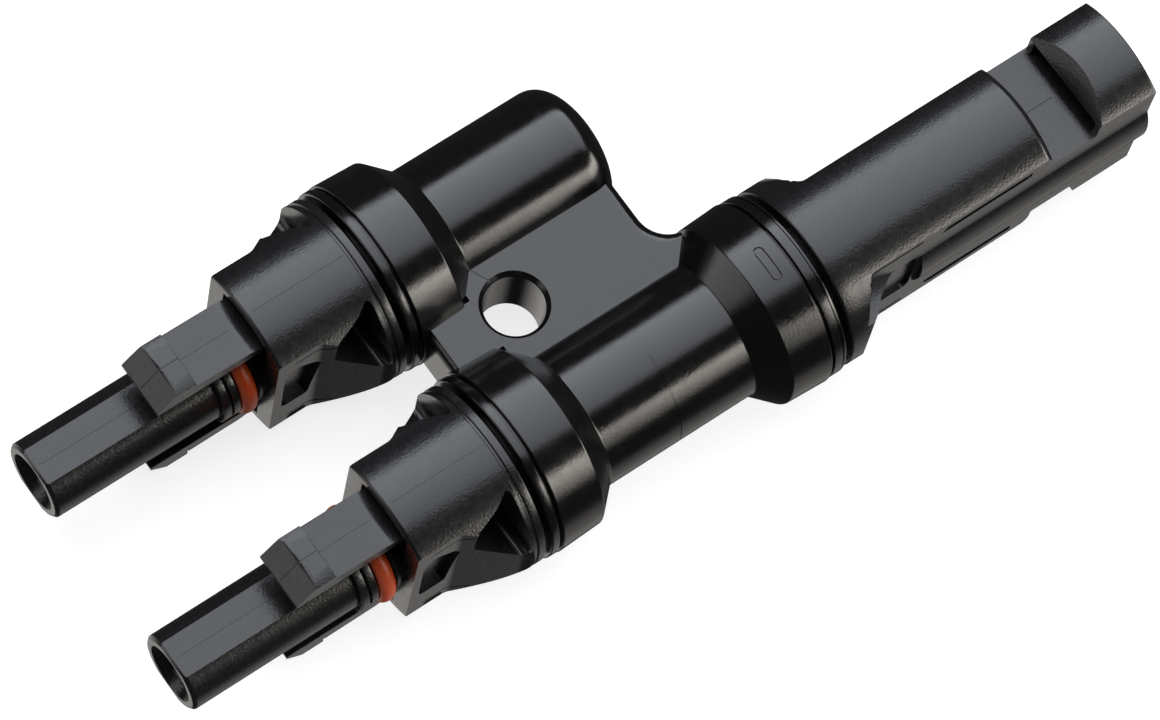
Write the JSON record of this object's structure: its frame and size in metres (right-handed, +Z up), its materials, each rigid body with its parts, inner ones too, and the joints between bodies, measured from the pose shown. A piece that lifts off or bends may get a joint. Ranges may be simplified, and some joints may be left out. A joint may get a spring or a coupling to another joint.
{
  "type": "solar cable branch connector",
  "caption": "Moulded Y branch connector for solar cables: socket branches with sprung latch arms and sealed probes, joined by a web with a hanging eye to a pin branch.",
  "frame": {"origin": "centre of the connector's outline in plan, on the surface that it lies on", "axes": "+X along the branches from the probe tips to the mouth of the pin shell, +Y from the main to the side branch, +Z up"},
  "size_m": [0.1054, 0.0406, 0.0189],
  "materials": {
    "overmould": "glossy black moulded plastic",
    "housing": "fine-grained satin black moulded plastic",
    "silicone": "smooth orange-red silicone",
    "contact": "tin-plated copper, satin",
    "clip": "sprung stainless steel",
    "copper": "bare stranded copper",
    "jacket": "matt black cable insulation"
  },
  "bodies": {
    "connector_body": {"y_body": "overmould", "pin_housing": "housing", "pin_contact": "contact", "retaining_clip_pin": "clip", "through_wire": "copper", "branch_wire": "copper", "wire_jacket_main": "jacket", "wire_jacket_side": "jacket", "wire_jacket_pin": "jacket", "splice_ferrule": "contact", "socket_housing_main": "housing", "probe_seal_main": "silicone", "socket_contact_main": "contact", "spring_band_main": "contact", "retaining_clip_main": "clip", "socket_housing_side": "housing", "probe_seal_side": "silicone", "socket_contact_side": "contact", "spring_band_side": "contact", "retaining_clip_side": "clip"},
    "latch_arm_main_top": {"latch_arm_main_top": "housing"},
    "latch_arm_main_bottom": {"latch_arm_main_bottom": "housing"},
    "latch_arm_side_top": {"latch_arm_side_top": "housing"},
    "latch_arm_side_bottom": {"latch_arm_side_bottom": "housing"}
  },
  "joints": [
    {"name": "main_top_arm_bend", "type": "hinge", "parent": "connector_body", "child": "latch_arm_main_top", "pos_m": [-0.0307, -0.0108, 0.0164], "axis": [0, -1, 0], "range_deg": [0, 8], "stiffness_Nm_per_rad": 0.8},
    {"name": "main_bottom_arm_bend", "type": "hinge", "parent": "connector_body", "child": "latch_arm_main_bottom", "pos_m": [-0.0307, -0.0108, 0.0025], "axis": [0, 1, 0], "range_deg": [0, 8], "stiffness_Nm_per_rad": 0.8},
    {"name": "side_top_arm_bend", "type": "hinge", "parent": "connector_body", "child": "latch_arm_side_top", "pos_m": [-0.0307, 0.0108, 0.0164], "axis": [0, -1, 0], "range_deg": [0, 8], "stiffness_Nm_per_rad": 0.8},
    {"name": "side_bottom_arm_bend", "type": "hinge", "parent": "connector_body", "child": "latch_arm_side_bottom", "pos_m": [-0.0307, 0.0108, 0.0025], "axis": [0, 1, 0], "range_deg": [0, 8], "stiffness_Nm_per_rad": 0.8}
  ]
}
